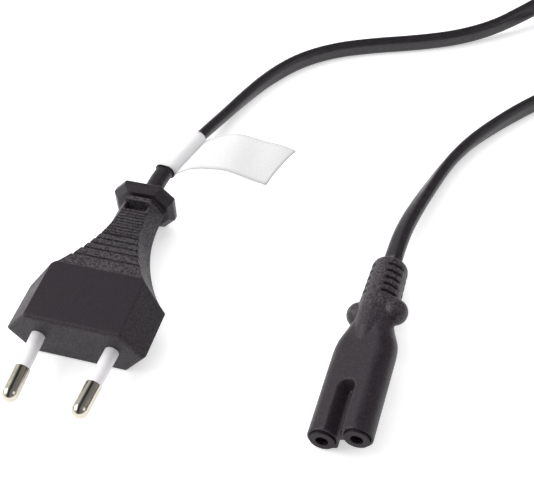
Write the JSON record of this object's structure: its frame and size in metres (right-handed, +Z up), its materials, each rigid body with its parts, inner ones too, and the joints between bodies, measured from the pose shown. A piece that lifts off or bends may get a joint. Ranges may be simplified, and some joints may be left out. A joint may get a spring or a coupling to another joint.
{
  "type": "figure eight power connector lead",
  "caption": "Figure eight appliance connector with a flat cord, tied in a coil, and a flat two-pin mains plug.",
  "frame": {"origin": "on the floor under the middle of the connector's bounding box, without the cord and the plug", "axes": "+Y along the connector from its socket face to its cord exit, +Z up from the floor, +X towards the raised lobe"},
  "size_m": [0.1897, 0.2238, 0.0137],
  "materials": {
    "moulding": "soft black moulding, lightly grained",
    "insert": "stiff black moulding",
    "sheath": "smooth black cord sheath with a dull shine",
    "sleeve": "white pin sleeve",
    "nickel": "nickel plated, bright",
    "brass": "bare brass",
    "copper": "bare copper strands",
    "core_brown": "brown core insulation",
    "core_blue": "blue core insulation",
    "paper": "thin white wrap, blank",
    "tie": "black flat tie"
  },
  "bodies": {
    "root": {"connector_body": "moulding", "contact_carrier": "insert", "connector_sheath_end": "sheath", "socket_contact_left": "brass", "socket_contact_right": "brass", "connector_strand_left": "copper", "connector_strand_right": "copper", "connector_core_left": "core_brown", "connector_core_right": "core_blue", "plug_body": "moulding", "pin_carrier": "insert", "plug_sheath_end": "sheath", "plug_pin_left": "nickel", "plug_pin_right": "nickel", "pin_sleeve_left": "sleeve", "pin_sleeve_right": "sleeve", "plug_strand_left": "copper", "plug_strand_right": "copper", "plug_core_left": "core_brown", "plug_core_right": "core_blue", "cord_connector_side": "sheath", "cord_coil": "sheath", "cord_plug_side": "sheath", "cord_tie_near": "tie", "cord_tie_far": "tie", "cord_label": "paper"}
  },
  "joints": []
}
